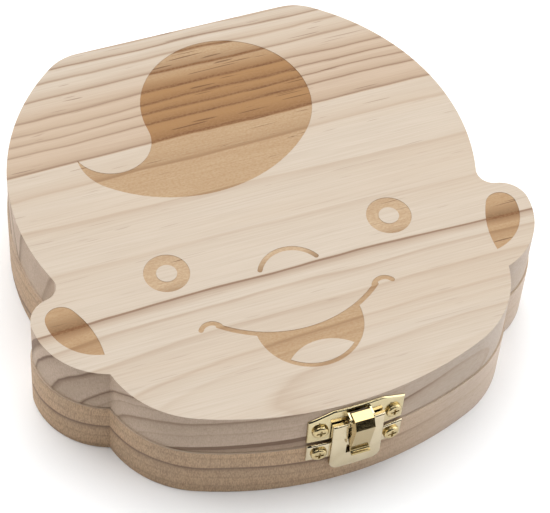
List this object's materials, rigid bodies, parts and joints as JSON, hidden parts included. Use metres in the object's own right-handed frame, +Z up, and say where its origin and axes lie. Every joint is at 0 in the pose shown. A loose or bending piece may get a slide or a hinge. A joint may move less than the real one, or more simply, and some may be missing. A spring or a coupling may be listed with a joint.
{
  "type": "baby tooth box",
  "caption": "Wooden keepsake box in the outline of a baby's head, with a hinged lid, a front clasp, and wells in its base for milk teeth.",
  "frame": {"origin": "on the flat underside, midway between the ears and midway from chin to back edge", "axes": "+Z up, +Y towards the hinges at the back, -Y towards the clasp at the front, +X to the right seen from the front"},
  "size_m": [0.1208, 0.1245, 0.0285],
  "materials": {
    "pine_base": "bare, sawn",
    "pine_lid": "bare, sanded, with burnt lines",
    "brass_sheet": "polished plating",
    "brass_screw": "polished plating"
  },
  "bodies": {
    "base": {"base_block": "pine_base", "left_hinge_base_leaf": "brass_sheet", "right_hinge_base_leaf": "brass_sheet", "left_hinge_pin": "brass_sheet", "right_hinge_pin": "brass_sheet", "left_hinge_base_outer_screw": "brass_screw", "left_hinge_base_inner_screw": "brass_screw", "right_hinge_base_outer_screw": "brass_screw", "right_hinge_base_inner_screw": "brass_screw", "clasp_keeper": "brass_sheet", "clasp_base_left_screw": "brass_screw", "clasp_base_right_screw": "brass_screw"},
    "lid": {"lid_block": "pine_lid", "left_hinge_lid_leaf": "brass_sheet", "right_hinge_lid_leaf": "brass_sheet", "left_hinge_lid_outer_screw": "brass_screw", "left_hinge_lid_inner_screw": "brass_screw", "right_hinge_lid_outer_screw": "brass_screw", "right_hinge_lid_inner_screw": "brass_screw", "clasp_upper_plate": "brass_sheet", "clasp_pin": "brass_sheet", "clasp_lid_left_screw": "brass_screw", "clasp_lid_right_screw": "brass_screw"},
    "clasp_tongue": {"clasp_tongue": "brass_sheet"}
  },
  "joints": [
    {"name": "lid_hinge", "type": "hinge", "parent": "base", "child": "lid", "pos_m": [0, 0.0599, 0.0155], "axis": [-1, 0, 0], "range_deg": [0, 180]},
    {"name": "tongue_hinge", "type": "hinge", "parent": "lid", "child": "clasp_tongue", "pos_m": [0.0013, -0.0604, 0.0254], "axis": [-1, 0, 0], "range_deg": [0, 100]}
  ]
}
